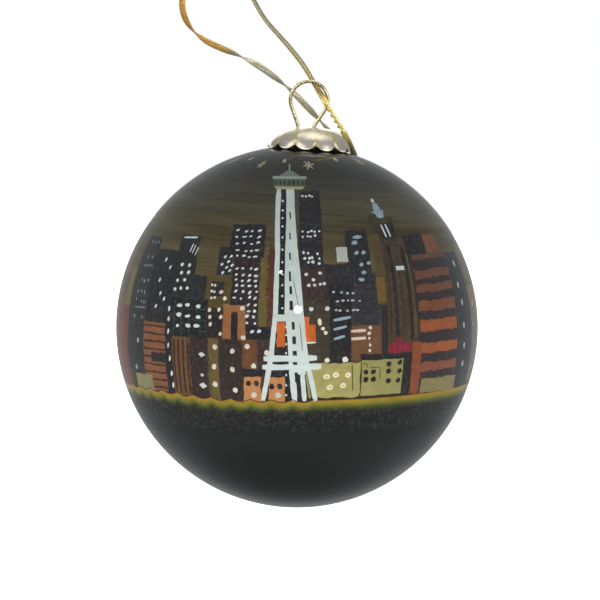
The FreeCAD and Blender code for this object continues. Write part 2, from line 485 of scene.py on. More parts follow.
DARK = "211f22"
SLATE = "2a2a2e"
PINE = "252b26"
PLUM = "352826"
BROWN = "6a4424"
OLIVE = "5d4e22"
RUST = "7a3f24"
BRICK = "b0623a"
SAGE = "b0b46a"
CRIMSON = "8b2236"
VERMILION = "dc6e26"
CREAM = "efe4cf"
WHITE = "e9eef0"
ICE = "a4bac6"
PALE = "dae5e2"


def banded(picture, left, right, bottom, top, light, dark, bands, dark_share=0.45):
    """A facade in level bands of two colours."""
    picture.block(left, right, bottom, top, light)
    pitch = (top - bottom) / bands
    for i in range(bands):
        low = bottom + pitch * (i + 0.5 - dark_share / 2)
        picture.block(left, right, low, low + pitch * dark_share, dark, 2, 0.2)


def fluted(picture, left, right, bottom, top, light, dark, stripes):
    """A facade with upright stripes."""
    picture.block(left, right, bottom, top, light)
    pitch = (right - left) / stripes
    for i in range(stripes):
        across = left + pitch * (i + 0.5)
        picture.line([(across, bottom + 0.4), (across, top - 0.6)], 0.42, dark, 2)


def paint_left_half(picture):
    """Blocks left of the tower, from the far edge inwards."""
    block, windows, dabs, line = picture.block, picture.windows, picture.dabs, picture.line
    fluted(picture, -90, -68.5, -12.3, 5.8, "7a4434", "56302a", 5)
    block(-74, -67.5, 5.8, 13.5, "7a6c3c", 1, 0.1, lean=1)
    block(-69, -57.8, -8.3, 20.5, "2b2e2e", 1.5, lean=1)
    for height in (14.4, 5.8):
        line([(-64, height), (-57.3, height + 0.2)], 0.4, "77747f")
    for height, count in ((19.2, 3), (16.3, 2), (11.4, 4), (9.2, 3), (7.3, 4), (3.8, 3)):
        windows(-65, -57.5, height - 0.6, height + 0.6, count, 1, "98a2a6", (0.5, 0.8), turn=10, skip=0.12)
    dabs([(-60.9, -1), (-63.3, -6.8)], 0.8, 1.1, "b4b8b8")
    block(-57, -44.3, 3.4, 18.2, "252428")
    dabs([(-50.3, 16.2), (-47.2, 14.7), (-51.3, 12), (-49.9, 9.3), (-47.7, 8.3), (-51.4, 6.6)],
         0.6, 0.95, WHITE, turn=-25)
    banded(picture, -57.4, -45.8, -11.3, 3.3, "915b38", "3a231d", 9, 0.26)
    block(-53, -46, -5.1, -3, "2b2426", 3)
    block(-64.6, -53.8, -11.3, -8, "949064", 3)
    block(-46.2, -43.2, -11.4, 7.8, DARK, 2.5)
    dabs([(-44.8, 6.4), (-44.8, 4.3), (-44.7, 1.7), (-44.7, -1.2), (-44.2, -4), (-43.8, -7.1), (-43.7, -9.7)],
         0.6, 1.2, WHITE, turn=-10)
    block(-44.3, -35.2, 8.4, 21.5, PINE, lean=-1.2)
    line([(-44.2, 20.9), (-37.7, 21.1)], 0.42, WHITE)
    for across, height in ((-39.6, 18.2), (-38.4, 18), (-37, 17.6)):
        line([(across, height), (across + 0.8, height + 1.6)], 0.3, WHITE)
    dabs([(-41.8, 15.5), (-38.5, 15.5), (-41.4, 13.9), (-38.4, 14.1), (-42.6, 12.3), (-39.5, 12.5),
          (-43.2, 10.5), (-40.7, 10.8), (-37.9, 10.9)], 0.85, 0.75, WHITE, turn=30)
    block(-37.4, -30.7, 8.6, 13.6, SLATE, 2)
    block(-45, -29.6, 0.8, 8.8, "1d211f", 2)
    for j in range(3):
        line([(-44.5, 1.9 + 2.3 * j), (-30, 2.2 + 2.3 * j)], 0.18, "46655a", 2)
    for i in range(4):
        line([(-42.4 + 3.1 * i, 1), (-42.4 + 3.1 * i, 8.9)], 0.18, "3f5c50", 2)
    windows(-42.6, -31, 2.1, 8.5, 3, 3, "e6eeee", (1.35, 0.8), turn=8)
    fluted(picture, -43.2, -35.6, -11.7, 0.8, "6e4d2b", "362116", 4)
    block(-30.7, -21.2, 7.2, 13.7, OLIVE)
    block(-28.6, -23.9, 9.6, 12.6, SLATE, 2)
    dabs([(-28.3, 11.9), (-27.2, 11.8), (-28.3, 10.6), (-27.3, 10.5), (-28.2, 9.2), (-27, 9.3)],
         0.6, 0.6, CREAM, turn=30)
    dabs([(-24.8, 10.5), (-23.4, 9.2)], 1, 0.8, CREAM, turn=30)
    block(-29.6, -23.8, 1, 7.3, "2c2224", 2)
    dabs([(-28.6, 6.7), (-25.2, 6.9), (-28.3, 5.3), (-24.5, 5.4), (-28.1, 3.8), (-24.5, 1.9)],
         0.75, 0.95, CREAM, turn=-25)
    block(-36, -28.6, -12.4, 1, PLUM)
    for height, size in ((-2.6, 1.8), (-7, 1.1), (-9.2, 1.9)):
        picture.dab(-31.3, height, size, size * 0.66, "e2e4e0", turn=-6, corners=4)
    block(-29, -25, -12.4, 0.9, "6c5a30")
    dabs([(-26.4, -0.9), (-26.8, -5.1), (-26.8, -8.8)], 1.2, 1.2, CREAM)
    block(-25.2, -17.2, -12.5, 0.9, PLUM, 2)
    dabs([(-20.4, -1.6), (-20.4, -5.5), (-19.8, -9.9)], 1.05, 1.2, CREAM)
    block(-17.2, -12.2, -6.8, 1, BROWN)
    dabs([(-15.5, -0.5), (-13.4, -4.6), (-9.1, -1.8)], 1.1, 1.2, CREAM, 4)
    block(-12.4, -6.8, -6.8, 1.4, "3a2829")
    block(-16, -6.6, 1, 3.7, DARK, 2)
    dabs([(-13.9, 2.6), (-11.6, 2.7)], 0.95, 0.65, WHITE, turn=28)
    block(-27.2, -22, 14, 19.6, SLATE)
    dabs([(-24.7, 17.6), (-22.5, 17.8), (-23.3, 16.7), (-25.6, 16.1), (-21.8, 16), (-23.7, 15.5),
          (-22.5, 14.9), (-24.9, 14.4)], 0.8, 0.5, WHITE, turn=40)
    block(-21.4, -11.8, 3.5, 18.5, "302426")
    paint_arch(picture)
    block(-23.6, -10.9, 17.6, 24.2, "25252b", 2)
    windows(-22.5, -12, 19.9, 23.5, 4, 3, WHITE, (0.85, 0.38), skip=0.03)
    windows(-21.2, -12.2, 18.5, 19.6, 4, 1, CREAM, (0.85, 0.4), turn=8)
    windows(-21.5, -12.8, 17.3, 18.4, 4, 1, WHITE, (0.85, 0.4), turn=8)
    windows(-21, -11.8, 8.9, 15.9, 4, 6, WHITE, (0.8, 0.48), turn=30, skip=0.04)
    windows(-16.6, -12.2, 3.6, 8.9, 2, 4, WHITE, (0.8, 0.55), turn=30)
    block(-12, -9.2, 3.6, 19.9, "6f6030")
    block(-9.5, -6.6, 3.6, 20.2, "5e3824")


def paint_arch(picture):
    """A brick block with a round-headed doorway."""
    picture.block(-23.7, -16.1, 0.8, 8, "a67041", 2)
    picture.block(-20.9, -18.7, 0.8, 5.8, "241d1f", 3, 0.1)
    picture.dab(-19.8, 5.8, 1.45, 1.7, "241d1f", 3, corners=14)
    picture.dabs([(-17.2, 7.3), (-16.7, 1.3)], 1.05, 1.05, CREAM, 4)


def paint_right_half(picture):
    """Blocks right of the tower, out to the far edge."""
    block, windows, dabs, line = picture.block, picture.windows, picture.dabs, picture.line
    block(0.5, 8.9, 9, 30.8, "29282c", lean=1)
    for height, right, count in ((29.7, 7.4, 4), (22.9, 9.3, 5), (21.9, 7.6, 4)):
        windows(1.8, right, height - 0.4, height + 0.4, count, 1, WHITE, (0.5, 0.45))
    windows(1.8, 8.4, 16.2, 19.1, 4, 3, WHITE, (0.62, 0.58), skip=0.15)
    block(1.3, 9.6, 9.2, 15.6, "3f2e28", 2)
    dabs([(3.4, 14.4), (8, 14.6), (5.7, 13.3), (4.2, 12.2), (6.1, 12.2), (8, 12.4), (9.3, 12.5)],
         0.75, 0.68, WHITE)
    block(2, 11.2, -4, 9.2, "40382a")
    dabs([(4.9, 7.3), (10.1, 7.4)], 0.95, 0.9, WHITE)
    for across, height, tall in ((7.6, 4.7, 1.5), (8.6, 3.3, 0.8), (9.5, 2.4, 0.8)):
        picture.dab(across, height, 0.85, tall, "f7efcf")
    dabs([(9.9, -3.3)], 1.15, 1.05, CREAM)
    block(9.3, 19, 9.2, 16.4, "2b2a2e")
    block(17.2, 25.8, 11, 23, "2b2b31", lean=0.4)
    block(13.9, 17.9, 16.8, 19.7, "cfd0ca", 3, 0.2)
    for across, height, wide, turn in ((22.4, 21.6, 2, 5), (20.9, 20.5, 1.3, 12), (21.2, 18.5, 1, 30),
                                       (23.8, 18.5, 1, 30), (22.4, 16.1, 1, 15), (25.2, 16.4, 0.9, 20),
                                       (23, 14.5, 1.2, 8), (21.9, 13.1, 1.4, -5)):
        picture.dab(across, height, wide, 0.75, ICE, turn=turn)
    block(18, 27.9, 3.7, 14.4, "36353a")
    block(10.9, 18, -3.9, 12, "212024", 2)
    for height, left, right, count in ((10.6, 11.6, 20, 4), (8.8, 12.4, 21.6, 5), (7, 11.6, 21.2, 5)):
        windows(left, right, height - 0.5, height + 0.5, count, 1, "c6ced2", (0.7, 0.48), turn=10)
    for height, right in ((5.3, 17.6), (3.4, 16.2), (1.4, 15.6)):
        line([(12, height - 0.35), (right, height + 0.25)], 0.55, ICE)
    dabs([(15.7, -3.3)], 1.4, 1.15, "f4efe6")
    block(17.6, 28.1, -3.5, 3.7, "7a5434", 2)
    for height in (2.6, 1):
        line([(17.7, height), (22.6, height + 0.1)], 0.6, "ecd3bf")
    windows(23.1, 24.9, -2.1, 3.8, 1, 5, CREAM, (0.75, 0.65))
    paint_stepped_block(picture)
    block(30.6, 39.1, -2.3, -0.3, CRIMSON, 3)
    block(33.1, 35.4, -0.5, 0.9, CRIMSON, 3, 0.1)
    block(20.9, 39.8, -11.2, -2.3, "231f21", 2.5)
    paint_low_row(picture)
    block(39.7, 43.4, -11.4, -0.4, "8a4a2a", 3)
    block(42.6, 63.4, -11.3, 17.4, "33292b", lean=-1)
    for height, tall, code in ((16.9, 1.2, "6c4632"), (13.4, 1.7, "754935"), (10.5, 1.6, "784a32"),
                               (6.9, 2.1, "885134"), (2.8, 2.4, "a85b2c"), (-1.9, 2.1, "9e562f"),
                               (-5.9, 1.9, "834d35")):
        block(43, 62.6, height - tall / 2, height + tall / 2, code, 2, 0.35)
    block(41, 51.8, 17.4, 21.4, "232124", 2)
    block(52, 60.4, 17.2, 21, "844f35", lean=-0.5)
    block(44.4, 63.6, -11.4, -8.4, "8b8053", 3)
    block(63, 76, -11.2, 17, "2f3235", lean=-2)
    dabs([(68.6, 14.5), (67, 10.2), (67.8, 6.6), (67.6, 1.8), (67.9, -2.5), (68, -6.4)], 0.9, 1.4, "c3cacc")
    block(75, 92, -10.6, 9.5, "74674a")
    dabs([(78.4, 5.7), (77, 1.5), (78, -7.6)], 0.8, 1.2, "b9ab8c")


def paint_stepped_block(picture):
    """A tall stepped block with a pale pointed roof and dark upright recesses."""
    block, line = picture.block, picture.line
    block(28.2, 33, 8, 26, "413a28")
    block(29.4, 40.4, -0.4, 21.4, "4e3d2a", 2, lean=0.4)
    block(32, 38.8, 18, 25.2, "463d2b", 2.5, lean=0.4)
    block(32.4, 38.6, 21, 24.1, "262422", 3, 0.15)
    block(26.9, 30.3, 7.9, 22, "5a4c2c", 2.5, lean=0.8)
    block(27.3, 30.3, 8.2, 13.4, "80602e", 3)
    block(28.2, 30.4, -2.4, 7.9, "29272a", 2.5)
    for low, top, left in ((0.5, 19.8, 34.1), (0.3, 19.2, 39.8)):
        line([(left, low), (left - 0.3, top)], 0.8, "262123", 3)
    line([(31.6, 1), (32.2, 19)], 0.25, "33291f", 3)
    line([(36.8, 1), (36.4, 18)], 0.25, "33291f", 3)
    line([(34.1, 21.3), (33.1, 23.8)], 0.42, WHITE, 4)
    line([(36, 21.3), (35.1, 23.8)], 0.42, WHITE, 4)
    line([(35.5, 15), (38.9, 15)], 0.85, "dfe2dc", 4, taper=1)
    for height, wide in ((25.5, 1.9), (26.2, 2.9), (26.9, 1.9), (27.5, 1.3)):
        picture.dab(34 - (height - 25.5) * 0.2, height, wide, 0.95, ICE, 3)
    picture.dab(33.2, 28.4, 0.8, 0.8, WHITE, 3)


def paint_low_row(picture):
    """Low sage-green houses at the tower's right foot."""
    picture.block(5, 20.9, -11.3, -4, "a79f60", 2, 0.3)
    picture.block(21.3, 36.2, -11.1, -3.6, "9b965b", 3, 0.2)
    picture.line([(18.5, -10), (18, -4.2)], 0.24, "4b4d28")
    for across, height in ((9.8, -6.8), (12.8, -6.5), (16.7, -6.6), (11, -9.1), (15.3, -8.8)):
        picture.dab(across, height, 1.4, 1.25, "f4eacb")
        picture.dab(across, height, 0.6, 0.5, "d8c98c", 4)
    picture.dabs([(22.8, -6.1), (25.3, -6.1), (22.8, -7.7), (25.5, -7.7), (30.8, -4.6), (35, -4.4),
                  (30.8, -6.1), (34.9, -6.2), (30.9, -8.2), (34.7, -8.2)], 1.3, 1.15, "1d1a1a", 4, 20)
    picture.line([(21.8, -4.2), (23, -4.4), (23.2, -5.2)], 0.18, "2c2b1a", 4)
    picture.line([(24, -5.2), (27.6, -5.3), (27.8, -7.8)], 0.18, "2c2b1a", 4)


def paint_houses(picture):
    """Two small orange houses with dark roofs, and orange panels beside the tower."""
    for left, right, low in ((-17, -11.2, -5.3), (-8.7, -3.5, -5.9)):
        picture.block(left, right, -12.3, -6.9, "c88b56", 2, 0.3)
        picture.block(left - 0.3, right + 0.5, -6.9, low, "1f1b1e", 2, 0.2)
    picture.dabs([(-15.3, -8.3), (-12.6, -8.3), (-7.7, -8.9), (-5.1, -8.8)], 1.2, 1.3, "1d1a1c", 3, corners=7)
    picture.dabs([(-13.6, -10.8), (-5.7, -10.8)], 1.45, 1.2, "d6d0c4", 3)
    picture.block(-3.5, 1.2, -12.2, -5.4, "1d1b1f", 2, 0.2)
    picture.block(-6, -3.4, -0.5, 4.6, VERMILION, 3, 0.15)
    picture.block(2.4, 4.3, 0.5, 5.7, VERMILION, 3, 0.15)
    picture.block(4, 6.2, 0.5, 4.1, VERMILION, 3, 0.15)


class Tower(Picture):
    """A picture whose strokes are placed in millimetres beside its upright middle, and height."""

    def line(self, route, width, code, layer=4):
        super().line([(across_of(x, height), height) for x, height in route], width, code, layer)

    def patch(self, edges, code, layer=4):
        """A patch between left and right edges, given as (left x, right x, height) from the foot up."""
        columns, colours, places = [[], [], []], [[], [], []], []
        for low, high in zip(edges, edges[1:]):
            places += between(low, high, max(2, int((high[2] - low[2]) / 1.2)))
        for left, right, height in places + [edges[-1]]:
            left += self.shake(-0.05, 0.05)
            right += self.shake(-0.05, 0.05)
            for k, x in enumerate((left, (left + right) / 2, right)):
                columns[k].append(on_glass(across_of(x, height), height, layer))
                colours[k].append(self.shade(code, 0.05))
        self.grid(columns, colours)

    def slot(self, x, height, wide, tall, code):
        """A small upright opening, a hair aslant."""
        left, right, half = x - wide / 2, x + wide / 2, tall / 2
        self.patch([(left, right, height - half), (left - 0.08, right - 0.08, height + half)], code, 5)


def paint_tower(tower):
    """A plain lookout tower: one tapered shaft, an outer leg, cross-bars, drum cabin and mast."""
    line, dark = tower.line, "211f24"
    tower.patch([(-5.6, -0.5, -12), (-4.8, -1, 0), (-4, -1.5, 15), (-3.6, -1.5, 31)], dark, 2)
    line([(-6.85, -12), (-5.77, -6.3), (-5.1, -2.3), (-4.57, 3.1), (-4.23, 6.2), (-4.1, 11), (-3.8, 18.6),
          (-3.6, 31)], 0.95, PALE)
    tower.patch([(-1.4, 3.1, -6.3), (-1.6, 2.4, -0.5), (-1.9, 1.95, 3.2), (-2.3, 1.7, 6.2), (-2.35, 1, 14),
                 (-2.2, 0.4, 19), (-2.05, -0.15, 25), (-2.1, -0.4, 31)], PALE)
    line([(-0.2, -12), (-0.8, -5.5)], 1.15, PALE)
    line([(1.8, -12), (1.3, -5.5)], 0.9, PALE)
    line([(4.1, -12), (2.7, -5)], 0.95, PALE)
    line([(2.15, -5.6), (2.9, -11.4)], 0.45, "9b9c60", 5)
    line([(-6.7, -3), (4.4, -2.8)], 1.15, PALE)
    line([(-6.95, -4.8), (5.3, -4.6)], 1.15, PALE)
    line([(-4.6, 5.45), (1.6, 5.65)], 1.3, PALE)
    for x, height, wide, tall in (
            (-1.15, 14, 0.4, 2), (-1, 11.2, 0.5, 1.6), (-0.9, 8.1, 0.7, 1.9), (-0.5, 3.9, 0.6, 1.6),
            (-0.3, 0.9, 0.75, 1.6), (-0.15, -1.8, 0.85, 1), (-0.1, -3.95, 0.85, 0.6), (0.2, -6.9, 0.7, 2.1),
            (0.75, -10.4, 0.8, 2.3), (-1.2, 18, 0.35, 1.4), (-1.2, 22, 0.3, 1.3), (-1.2, 26, 0.3, 1.3)):
        tower.slot(x, height, wide, tall, dark)
    line([(-0.5, 13.3), (0.6, 7.7)], 0.14, "75827e", 5)
    line([(0.85, 4.3), (1.4, -1.4)], 0.16, "75827e", 5)
    line([(-4.6, -3.9), (-2.2, -3.95)], 0.6, dark, 5)
    for x, heights in ((-2.8, (28.8, 27, 25.5, 23.9, 21.7, 19.3, 16.8, 14.4, 12.2, 10, 7.5)),
                       (-2, (3.7, 2, 0.1, -1.8, -6.4, -8.6, -10.7))):
        for height in heights:
            tower.dab(across_of(x, height), height, 0.42, 0.45, WHITE, 5)
    line([(2.2, 0.35), (4.2, 0.45)], 0.35, "dfe2dc", 5)
    paint_cabin(tower)


def paint_cabin(tower):
    """The tower's two-step drum with small windows, a low cone roof and a short mast."""
    middle = -1.45
    for low, high, foot, top, code, layer in (
            (31, 31.5, 2.7, 3.2, "c0b58e", 5), (31.5, 32.9, 3.3, 3.3, "5a6a54", 4),
            (32.9, 33.4, 3.6, 3.5, "a9b5a6", 5), (33.4, 34.4, 2.3, 0.6, "7c8a84", 4)):
        tower.patch([(middle - foot, middle + foot, low), (middle - top, middle + top, high)], code, layer)
    for i in range(7):
        tower.slot(middle - 2.8 + 5.6 * i / 6, 32.2, 0.4, 0.7, "2a332a")
    tower.line([(middle, 34.3), (middle, 35.5)], 0.3, "a9bac4")


def paint_far_side(picture):
    """The rest of the town round the back, made up block by block."""
    walls = [DARK, SLATE, PLUM, PINE, BROWN, OLIVE, RUST, "3d3423", "2c2224"]
    rng = picture.random
    foot, across, last = -11.6, 88, 273
    while across < last - 1:
        wide = rng.uniform(7, 15)
        top = rng.uniform(4, 23)
        right = min(across + wide, last)
        style = rng.random()
        if style < 0.2:
            light = rng.choice([BRICK, "a85a2b"])
            banded(picture, across, right, foot, top, light, "3a2624", max(4, int(top + 12) // 3))
        elif style < 0.38:
            fluted(picture, across, right, foot, top, rng.choice([BROWN, "4a3822"]), "2a1c16", 4)
        else:
            picture.block(across, right, foot, top, rng.choice(walls))
            picture.windows(across + 0.8, right - 0.8, -2, top - 0.8, max(2, int(wide / 3)),
                            max(3, int((top + 2) / 1.9)), rng.choice([WHITE, CREAM, "c9d3d8"]), skip=0.2)
        low_top = rng.uniform(-7, -1)
        if rng.random() < 0.75:
            code = rng.choice([SAGE, "d98048", PLUM, "714a25", "90905a", CRIMSON])
            picture.block(across + 1, right - 1, foot, low_top, code, 2)
            dots = CREAM if code not in (SAGE, "90905a") else "1d1a18"
            picture.windows(across + 2, right - 2, -10, low_top - 0.6, 2, 2, dots, (1.1, 1), skip=0.05)
        across += wide * rng.uniform(0.82, 1)


GROUND_ROWS = ((0, "b28c22"), (-0.5, "a48a22"), (-1, "857f20"), (-1.4, "62661e"), (-1.9, "3c431b"),
               (-2.5, "1c2016"), (-3.6, "121313"), (-6.8, "101111"))


def ground_edge(across):
    """Height of the ground's upper line, scalloped except under the houses at the right front."""
    swell = -0.3 * cos(radians(2 * across + 20))
    if across < -25:
        swell += 0.55 * sin(pi * (-25 - across) / 65)
    if 6 < across < 90:
        return -11.7 + swell
    return -12.1 + swell + 0.6 * (1 - abs(sin(radians(26 * across + 26))))


def paint_ground(picture):
    """Mustard and olive ground fading into the dark base, edged with a thin wavy line."""
    columns, colours, count = [], [], 720
    for i in range(count + 1):
        across = 360 * i / count - 90
        edge = ground_edge(across)
        columns.append([on_glass(across, edge + drop, 3.5) for drop, _ in GROUND_ROWS][::-1])
        colours.append([picture.shade(code, 0.12) for _, code in GROUND_ROWS][::-1])
    picture.grid(columns, colours)
    picture.line([(k / 2, ground_edge(k / 2) + 0.08) for k in range(-180, 13)], 0.2, "5a2c18", 4)
    for across in (7, 10, 14, 18, 21, 24, 27.5, 30.5, 34):
        picture.dab(across, ground_edge(across) + 0.1, 1, 0.28, "4a3a1a", 4, turn=6)


def paint_shoulder_marks(picture):
    """Small pale gold stars and dots round the shoulder, in place of writing."""
    for i in range(18):
        across = 20 * i + 7 + picture.shake(-1.5, 1.5)
        if i % 2:
            picture.dab(across, 36.1, 0.7, 0.6, "c9c29a", 2)
            continue
        for turn in (0, 60, 120):
            picture.dab(across, 35.4, 1.7, 0.35, "b5ad84", 2, turn=turn + 12, corners=8)


def make_painting():
    """Four meshes of strokes, each with its own paint."""
    blocks = (paint_left_half, paint_right_half, paint_houses, paint_far_side)
    for picture, painters, paint, unevenness, slot in (
            (Picture("painted_buildings", 7), blocks, "gouache_buildings", 0.35, "skyline_paint"),
            (Tower("painted_tower", 11), [paint_tower], "gouache_tower", 0.3, "skyline_paint"),
            (Picture("painted_ground", 13), [paint_ground], "gouache_ground", 0.6, "skyline_paint"),
            (Picture("painted_stars", 17), [paint_shoulder_marks], "gold_marks", 0.4, "shoulder_paint")):
        for painter in painters:
            painter(picture)
        picture.finish(stroke_material(paint, unevenness), slot)


# Stamped cap

CAP_RADIUS = (cap_high.x - cap_low.x) / 2
CAP_RIM = cap_low.z
CAP_TOP = cap_high.z + 0.4 * MM
CAP_SHEET = 0.32 * MM
SCALLOPS = 12
FIRST_NOTCH = radians(9.3 - 90)
SCALLOP_DEPTH = 1.25 * MM
CAP_FLAT = 0.2
CAP_FLAT_RADIUS = 2.4 * MM
LEG_HOLES = (-2.65 * MM, 0.65 * MM)
LEG_HOLE_RADIUS = 0.5 * MM


def cap_profile(t):
    """Radius and height on the cap's dome, from its middle (0) to its rim (1)."""
    if t < CAP_FLAT:
        return CAP_FLAT_RADIUS * t / CAP_FLAT, CAP_TOP
    turn = radians(90 * (t - CAP_FLAT) / (1 - CAP_FLAT))
    radius = CAP_FLAT_RADIUS + (CAP_RADIUS - CAP_FLAT_RADIUS) * sin(turn) ** 0.85
    return radius, CAP_TOP - (CAP_TOP - CAP_RIM) * (1 - cos(turn)) ** 0.8


def cap_point(t, angle, inset):
    """A point of the cap, with petals pressed into its skirt and a turned-out lower edge."""
    radius, height = cap_profile(t)
    petal = abs(sin(SCALLOPS / 2 * (angle - FIRST_NOTCH))) ** 0.6
    skirt = max(0.0, (t - 0.24) / 0.76)
    skirt = skirt * skirt * (3 - 2 * skirt)
    edge = max(0.0, (t - 0.94) / 0.06)
    radius += skirt * (0.62 * petal - 0.5) * MM + 0.14 * MM * edge * edge
    height += skirt * skirt * (SCALLOP_DEPTH * (1 - petal) - 0.15 * MM)
    radius -= inset * min(1.0, 2 * t)
    return Vector((radius * cos(angle), radius * sin(angle), height - inset * (1 - skirt)))


def make_cap():
    """Fluted dome of thin sheet, scalloped at the rim, with a hole for each leg."""
    rows, count = 48, SCALLOPS * 26
    angles = [FIRST_NOTCH + TAU * i / count for i in range(count)]
    points = [cap_point(j / rows, angle, inset)
              for inset in (0, CAP_SHEET) for j in range(1, rows + 1) for angle in angles]
    side = rows * count
    last = side - count
    faces = []
    for start, way in ((0, 1), (side, -1)):
        for j in range(rows - 1):
            for i in range(count):
                a = start + j * count + i
                b = start + j * count + (i + 1) % count
                faces.append((a, a + count, b + count, b)[::way])
    for i in range(count):
        k = (i + 1) % count
        faces.append((last + i, side + last + i, side + last + k, last + k))
    faces.append(tuple(range(count)))
    faces.append(tuple(range(side, side + count))[::-1])
    cap = add_mesh("stamped_cap", points, faces, cap_material(), "cap")
    pierce(cap)
    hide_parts("metal_cap")
    return cap


def pierce(cap):
    """Cuts the two leg holes through the cap's flat top."""
    for x in LEG_HOLES:
        bpy.ops.mesh.primitive_cylinder_add(radius=LEG_HOLE_RADIUS, depth=3 * MM, vertices=24,
                                            location=(x, 0, CAP_TOP))
        cutter = bpy.context.object
        cut = cap.modifiers.new("hole", "BOOLEAN")
        cut.object = cutter
        cut.solver = "EXACT"
        mesh = evaluated_mesh(cap)
        cap.modifiers.clear()
        cap.data = mesh
        bpy.data.objects.remove(cutter)


def cap_material():
    """Champagne plating, with a painted purple-grey reflection in the middle of each petal and a painted pale
    highlight along the rim.
    """
    nodes = new_material("champagne_plate")
    place = nodes.place()
    x, y, z = nodes.add("SeparateXYZ", {0: place}).node.outputs
    angle = nodes.math("ARCTAN2", y, x)
    wave = nodes.math("SINE", nodes.math("MULTIPLY_ADD", angle, SCALLOPS / 2, -SCALLOPS / 2 * FIRST_NOTCH))
    # petal and low mark where the painted purple-grey reflection goes: the middle of each petal's lower part
    petal = nodes.spread(nodes.math("ABSOLUTE", wave), 0.5, 0.95)
    low = nodes.spread(z, CAP_RIM + 3.3 * MM, CAP_RIM + 1.7 * MM)
    # rim marks a painted pale highlight along the cap's lower edge
    rim = nodes.spread(z, CAP_RIM + 0.32 * MM, CAP_RIM + 0.02 * MM)
    petal_reflection = nodes.spread(nodes.math("MULTIPLY", petal, low), 0, 1, 0, 0.75)
    patches = nodes.noise(place, 900)
    plate = nodes.mix(nodes.spread(patches, 0.35, 0.65), "a89f82", "938b74")
    # 928c93 is the painted petal reflection, and f4eccb is the painted rim highlight
    colour = nodes.mix(rim, nodes.mix(petal_reflection, plate, "928c93"), "f4eccb")
    roughness = nodes.spread(nodes.noise(place, 5000, 2.0), 0.25, 0.75, 0.26, 0.42)
    nodes.bump(patches, 0.012 * MM)
    return nodes.finish(colour, roughness, {"Metallic": 0.8})


# Cord, knot and wire

CORD_WIDTH = 1.3 * MM
CORD_THICK = 0.42 * MM
CORD_ROUTE = [
    (-23.8, 0.6, 20.9), (-26.6, 0.4, 19.6), (-28.4, 0.3, 16.8), (-28.4, 0.2, 13.2),
    (-26.6, 0.2, 9.8), (-23.6, 0.3, 7.5), (-20.2, 0.5, 6.1), (-16.2, 0.6, 4.9),
    (-12, 0.8, 3.1), (-8, 1, 0.7), (-4.2, 1.3, -2), (-1.1, 1.9, -4.8),
    (1.6, 2.9, -7.3), (3.6, 4.5, -9.3), (4.9, 6.5, -11.2), (5.6, 8.7, -12.9),
    (5.8, 10.5, -14), (6.9, 11.8, -14.7), (8.6, 11.8, -15.1), (9.7, 10.4, -14.95), (9.8, 8.3, -14.4),
    (9.3, 5.7, -13.6), (8.8, 3.2, -12.8), (8, 1.3, -11.3), (6.8, -0.1, -9.5),
    (5.5, -1.1, -7.7), (4.2, -1.5, -5.8), (2.9, -1, -3.9), (1.5, 0.1, -1.9),
    (-0.1, 1.2, 0.4), (-2.1, 1.5, 3.4), (-4.9, 1.5, 6.6), (-8, 1.5, 9.6),
    (-11, 1.4, 12.5), (-13.2, 1.3, 15.7), (-15.1, 1.1, 18.8), (-17.9, 0.9, 20.7),
    (-20.8, 0.8, 21.1),
]

FOIL_SPAN = 120  # the millimetres of braid that the stops cover
# Colours along the braid; the pale gold stretch from 0.63 to 0.69 is a painted highlight where the braid
# twists quickly beside the ring
FOIL_AND_GLINT_STOPS = [
    (0, "b08a3c"), (0.14, "a9793a"), (0.185, "b08a48"), (0.21, "aaa68e"), (0.5, "aaa58c"), (0.57, "86703f"),
    (0.63, "e6d488"), (0.69, "e6d488"), (0.71, "9c8446"), (0.79, "8a8463"), (1, "857f60"),
]


def spline_points(route, resolution):
    """Points along a smooth open NURBS line with the route's points as its control points."""
    curve = bpy.data.curves.new("route", "CURVE")
    curve.dimensions = "3D"
    curve.resolution_u = resolution
    spline = curve.splines.new("NURBS")
    spline.points.add(len(route) - 1)
    for target, place in zip(spline.points, route):
        target.co = (*[v * MM for v in place], 1)
    spline.order_u = 3
    spline.use_endpoint_u = True
    holder = add_object("route", curve)
    mesh = evaluated_mesh(holder)
    points = [vertex.co.copy() for vertex in mesh.vertices]
    bpy.data.objects.remove(holder)
    bpy.data.meshes.remove(mesh)
    return points


def ribbon(path, width, thick, twist_at):
    """A flat braid along a path: points, faces and how far along and around each point lies."""
    sides, travelled = 12, 0.0
    points, places = [], []
    for i, here in enumerate(path):
        if i:
            travelled += (here - path[i - 1]).length
        ahead = (path[min(i + 1, len(path) - 1)] - path[max(i - 1, 0)]).normalized()
        side = (Vector((0, 1, 0)) - ahead * ahead.y).normalized()
        other = ahead.cross(side)
        twist = twist_at(travelled)
        for k in range(sides):
            round_angle = TAU * k / sides
            across, up = turned(width / 2 * cos(round_angle), thick / 2 * sin(round_angle), twist)
            points.append(here + side * across + other * up)
            places.append((travelled / MM, 4 * k / sides))
    faces = [(a + k, a + (k + 1) % sides, a + (k + 1) % sides + sides, a + k + sides)
             for a in range(0, len(points) - sides, sides) for k in range(sides)]
    faces.append(tuple(range(sides))[::-1])
    faces.append(tuple(range(len(points) - sides, len(points))))
    return points, faces, places


